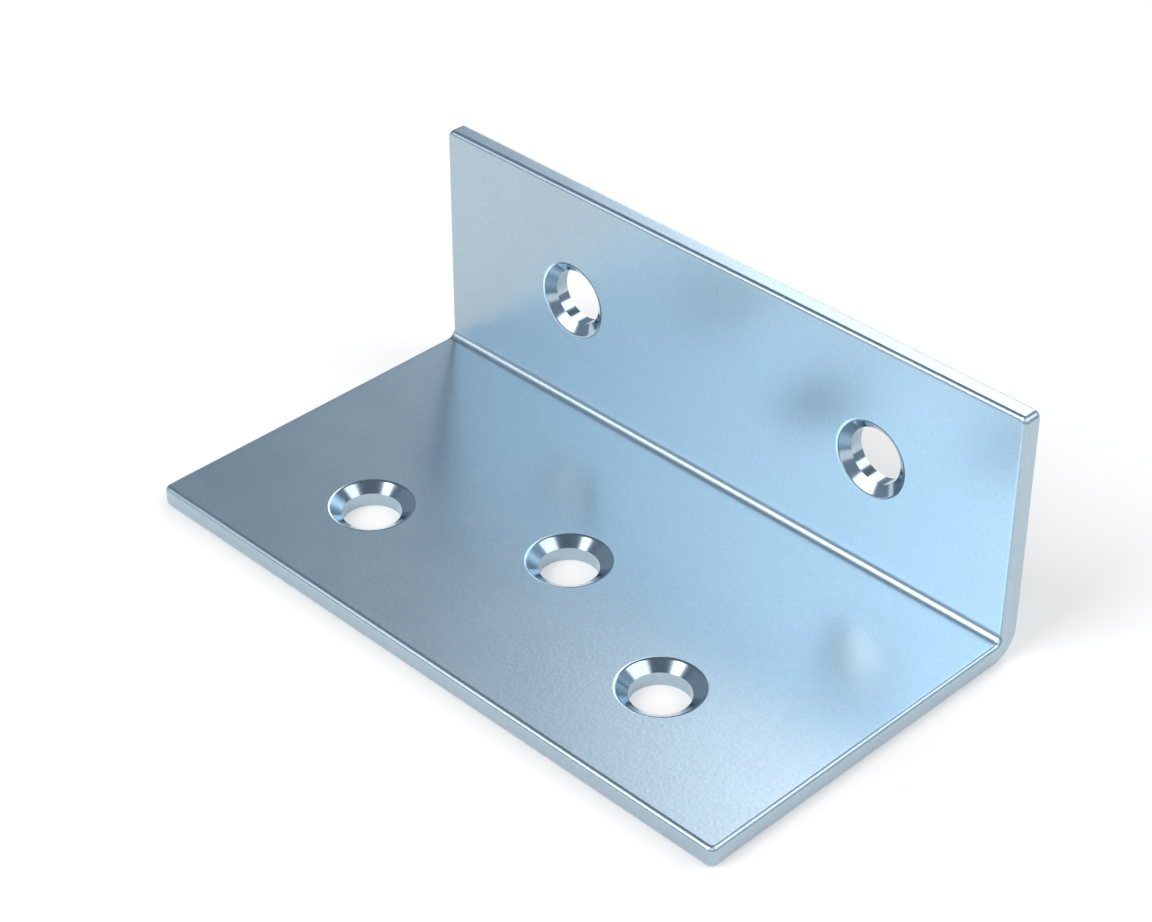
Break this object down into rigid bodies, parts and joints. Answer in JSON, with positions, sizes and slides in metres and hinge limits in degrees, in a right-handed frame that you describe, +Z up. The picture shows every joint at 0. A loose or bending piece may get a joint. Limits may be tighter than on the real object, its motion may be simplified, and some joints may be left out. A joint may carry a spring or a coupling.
{
  "type": "angle bracket",
  "caption": "Wide angle bracket folded from zinc-plated sheet steel, with a deep base leg, a shorter upright leg and countersunk screw holes, for joining panels at a right angle.",
  "frame": {"origin": "middle of the length and of the base depth, on the underside of the base leg", "axes": "+X along the fold, +Y towards the back of the upright leg, +Z up from the underside"},
  "size_m": [0.07, 0.039, 0.0255],
  "materials": {
    "zinc_plate": "satin bluish zinc plate"
  },
  "bodies": {
    "root": {"bracket": "zinc_plate"}
  },
  "joints": []
}
